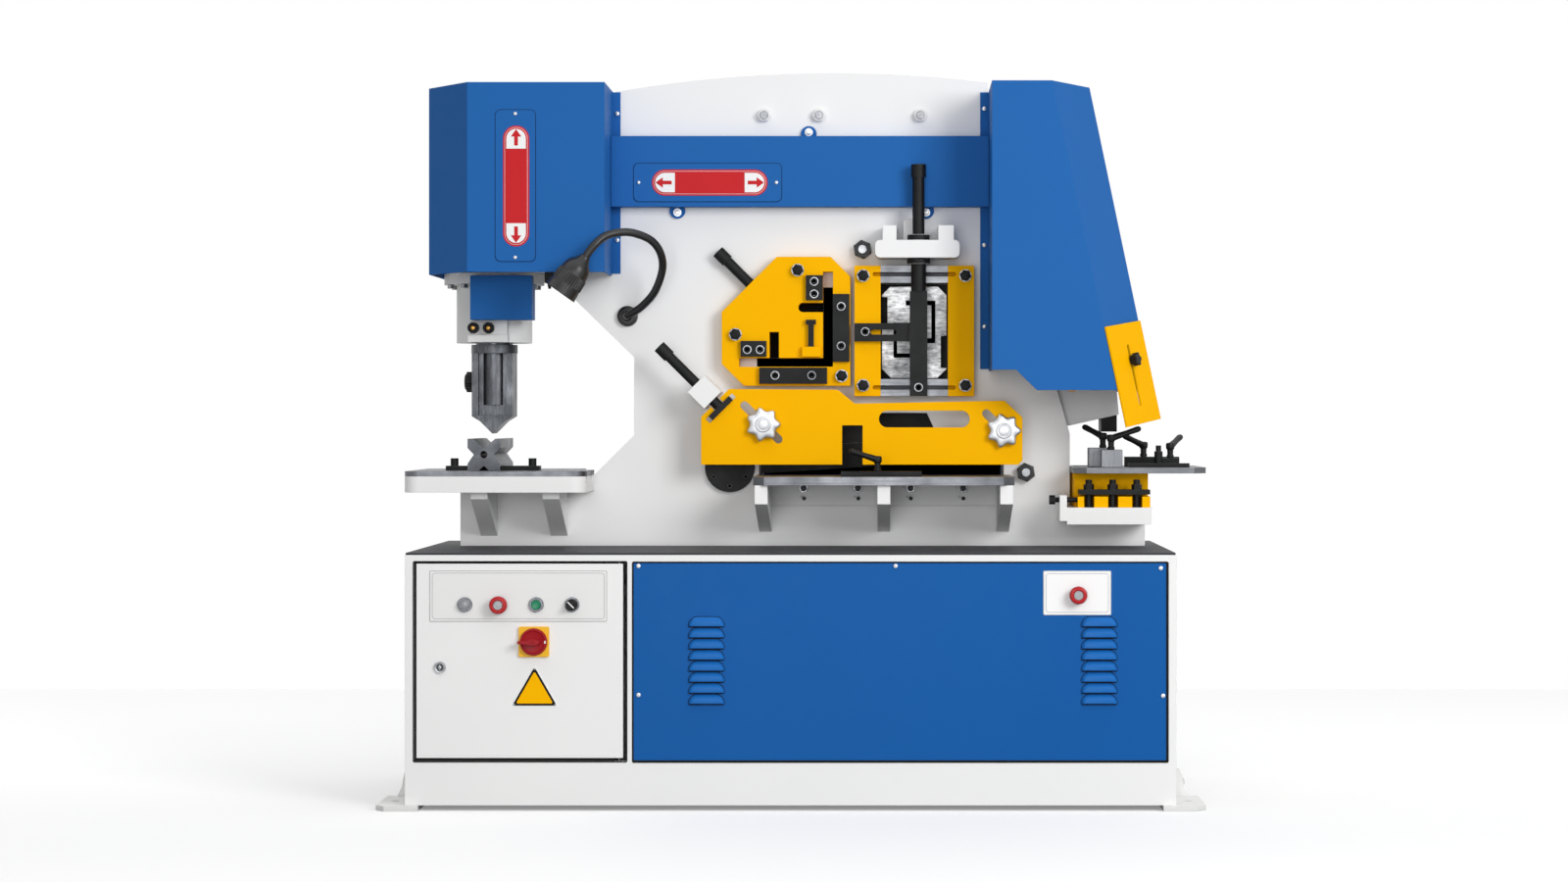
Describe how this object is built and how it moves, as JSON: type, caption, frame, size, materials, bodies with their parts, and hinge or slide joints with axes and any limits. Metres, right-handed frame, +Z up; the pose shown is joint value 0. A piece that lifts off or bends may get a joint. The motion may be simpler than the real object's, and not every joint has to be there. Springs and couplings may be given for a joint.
{
  "type": "hydraulic ironworker",
  "caption": "Floor-standing hydraulic ironworker with a punch, angle shear, section shear, plate shear and notcher on a plate frame over a control cabinet.",
  "frame": {"origin": "on the floor at the centre of the four anchor holes", "axes": "+X to the machine's right seen from the operator, +Y to the back, +Z up"},
  "size_m": [1.934, 0.774, 1.7359],
  "materials": {
    "cabinet_white": "satin",
    "deck_dark": "satin",
    "cover_blue": "satin",
    "guard_yellow": "satin",
    "tool_steel": "ground",
    "black_steel": "black oxide",
    "bronze": "machined",
    "knob_grey": "cast",
    "black_plastic": "moulded",
    "lamp_black": "satin",
    "button_red": "moulded",
    "button_green": "moulded",
    "fitting_grey": "moulded",
    "hydraulic_blue": "satin"
  },
  "bodies": {
    "frame": {"base_cabinet": "cabinet_white", "anchor_feet": "cabinet_white", "deck_plate": "deck_dark", "front_panel": "cover_blue", "electrical_gear": "fitting_grey", "oil_tank": "hydraulic_blue", "pump_set": "hydraulic_blue", "front_frame_plate": "cabinet_white", "rear_frame_plate": "cabinet_white", "frame_ties": "tool_steel", "frame_brackets": "cabinet_white", "pivot_shaft": "black_steel", "fixed_blades": "tool_steel", "shear_cylinder": "black_steel", "punch_cover": "cover_blue", "cylinder_cover": "cover_blue", "frame_covers": "cover_blue", "punch_cylinder": "cabinet_white", "punch_table": "cabinet_white", "punch_table_top": "tool_steel", "vee_die": "tool_steel", "die_clamps": "black_steel", "angle_plate": "guard_yellow", "section_plate": "guard_yellow", "work_guides": "black_steel", "shear_table": "tool_steel", "notch_bracket": "cabinet_white", "notch_die": "guard_yellow", "notch_table": "tool_steel", "notch_stops": "black_steel", "work_lamp": "lamp_black"},
    "panel_stop": {"panel_stop_button": "button_red"},
    "door": {"electrical_door": "cabinet_white", "door_fittings": "fitting_grey"},
    "door_stop": {"door_stop_button": "button_red"},
    "start": {"start_button": "button_green"},
    "selector": {"mode_selector": "black_plastic"},
    "main_switch": {"main_switch_handle": "button_red"},
    "lock": {"door_lock": "tool_steel"},
    "beam": {"shear_beam": "tool_steel", "beam_pins": "bronze", "moving_blades": "tool_steel"},
    "rod": {"shear_rod": "tool_steel"},
    "ram": {"punch_ram": "tool_steel", "bending_punch": "black_steel"},
    "tool_clamp": {"tool_knob": "black_plastic"},
    "angle_clamp": {"angle_screw": "black_steel"},
    "section_clamp": {"section_screw": "black_steel"},
    "guard": {"plate_guard": "guard_yellow", "plate_screw": "black_steel"},
    "left_knob": {"left_star_knob": "knob_grey"},
    "right_knob": {"right_star_knob": "knob_grey"},
    "gauge": {"gauge_bar": "black_steel"},
    "gauge_handle": {"gauge_lever": "black_plastic"},
    "lever_1": {"notch_lever_1": "black_plastic"},
    "lever_2": {"notch_lever_2": "black_plastic"},
    "lever_3": {"notch_lever_3": "black_plastic"},
    "lever_4": {"notch_lever_4": "black_plastic"},
    "notcher_guard": {"notch_guard": "guard_yellow"},
    "notcher_knob": {"notch_guard_knob": "black_plastic"}
  },
  "joints": [
    {"name": "panel_stop_press", "type": "slide", "parent": "frame", "child": "panel_stop", "axis": [0, 1, 0], "range_m": [0, 0.006], "stiffness_N_per_m": 300},
    {"name": "door_hinge", "type": "hinge", "parent": "frame", "child": "door", "pos_m": [-0.394, -0.34, 0.344], "axis": [0, 0, 1], "range_deg": [0, 110]},
    {"name": "door_stop_press", "type": "slide", "parent": "door", "child": "door_stop", "axis": [0, 1, 0], "range_m": [0, 0.006], "stiffness_N_per_m": 300},
    {"name": "start_press", "type": "slide", "parent": "door", "child": "start", "axis": [0, 1, 0], "range_m": [0, 0.004], "stiffness_N_per_m": 300},
    {"name": "selector_turn", "type": "hinge", "parent": "door", "child": "selector", "pos_m": [-0.502, -0.35, 0.473], "axis": [0, 1, 0], "range_deg": [0, 60]},
    {"name": "main_switch_turn", "type": "hinge", "parent": "door", "child": "main_switch", "pos_m": [-0.589, -0.35, 0.388], "axis": [0, 1, 0], "range_deg": [0, 90]},
    {"name": "lock_turn", "type": "hinge", "parent": "door", "child": "lock", "pos_m": [-0.805, -0.35, 0.329], "axis": [0, 1, 0], "range_deg": [0, 90]},
    {"name": "beam_pivot", "type": "hinge", "parent": "frame", "child": "beam", "pos_m": [-0.159, 0.14, 0.782], "axis": [0, 1, 0], "range_deg": [0, 5]},
    {"name": "rod_slide", "type": "slide", "parent": "frame", "child": "rod", "axis": [0.2054, 0, -0.9787], "range_m": [0, 0.075]},
    {"name": "ram_slide", "type": "slide", "parent": "frame", "child": "ram", "axis": [0, 0, -1], "range_m": [0, 0.03]},
    {"name": "tool_knob_turn", "type": "hinge", "parent": "ram", "child": "tool_clamp", "pos_m": [-0.8, 0.125, 0.9895], "axis": [1, 0, 0], "continuous": true},
    {"name": "angle_screw_slide", "type": "slide", "parent": "frame", "child": "angle_clamp", "axis": [0.7071, 0, -0.7071], "range_m": [-0.03, 0.03]},
    {"name": "section_screw_slide", "type": "slide", "parent": "frame", "child": "section_clamp", "axis": [0, 0, -1], "range_m": [0, 0.04]},
    {"name": "guard_slide", "type": "slide", "parent": "frame", "child": "guard", "axis": [0.7071, 0, -0.7071], "range_m": [0, 0.02]},
    {"name": "left_knob_turn", "type": "hinge", "parent": "frame", "child": "left_knob", "pos_m": [-0.074, -0.07, 0.886], "axis": [0, 1, 0], "continuous": true},
    {"name": "right_knob_turn", "type": "hinge", "parent": "frame", "child": "right_knob", "pos_m": [0.5, -0.07, 0.871], "axis": [0, 1, 0], "continuous": true},
    {"name": "gauge_slide", "type": "slide", "parent": "frame", "child": "gauge", "axis": [1, 0, 0], "range_m": [-0.05, 0.05]},
    {"name": "gauge_lever_turn", "type": "hinge", "parent": "gauge", "child": "gauge_handle", "pos_m": [0.199, -0.165, 0.79], "axis": [0, 0, 1], "range_deg": [-60, 60]},
    {"name": "notch_lever_1_turn", "type": "hinge", "parent": "frame", "child": "lever_1", "pos_m": [0.74, -0.02, 0.845], "axis": [0, 0, 1], "range_deg": [0, 60]},
    {"name": "notch_lever_2_turn", "type": "hinge", "parent": "frame", "child": "lever_2", "pos_m": [0.755, -0.085, 0.84], "axis": [0, 0, 1], "range_deg": [0, 60]},
    {"name": "notch_lever_3_turn", "type": "hinge", "parent": "frame", "child": "lever_3", "pos_m": [0.841, 0.02, 0.822], "axis": [0, 0, 1], "range_deg": [-60, 0]},
    {"name": "notch_lever_4_turn", "type": "hinge", "parent": "frame", "child": "lever_4", "pos_m": [0.9, -0.04, 0.82], "axis": [0, 0, 1], "range_deg": [-60, 60]},
    {"name": "notch_guard_slide", "type": "slide", "parent": "frame", "child": "notcher_guard", "axis": [-0.2054, 0, 0.9787], "range_m": [0, 0.095]},
    {"name": "notch_knob_turn", "type": "hinge", "parent": "frame", "child": "notcher_knob", "pos_m": [0.80378, -0.11861, 1.03926], "axis": [-0.841, 0.5114, -0.1765], "continuous": true}
  ],
  "couplings": [
    {"joint": "rod_slide", "follows": "beam_pivot", "m_per_rad": 0.8551}
  ]
}
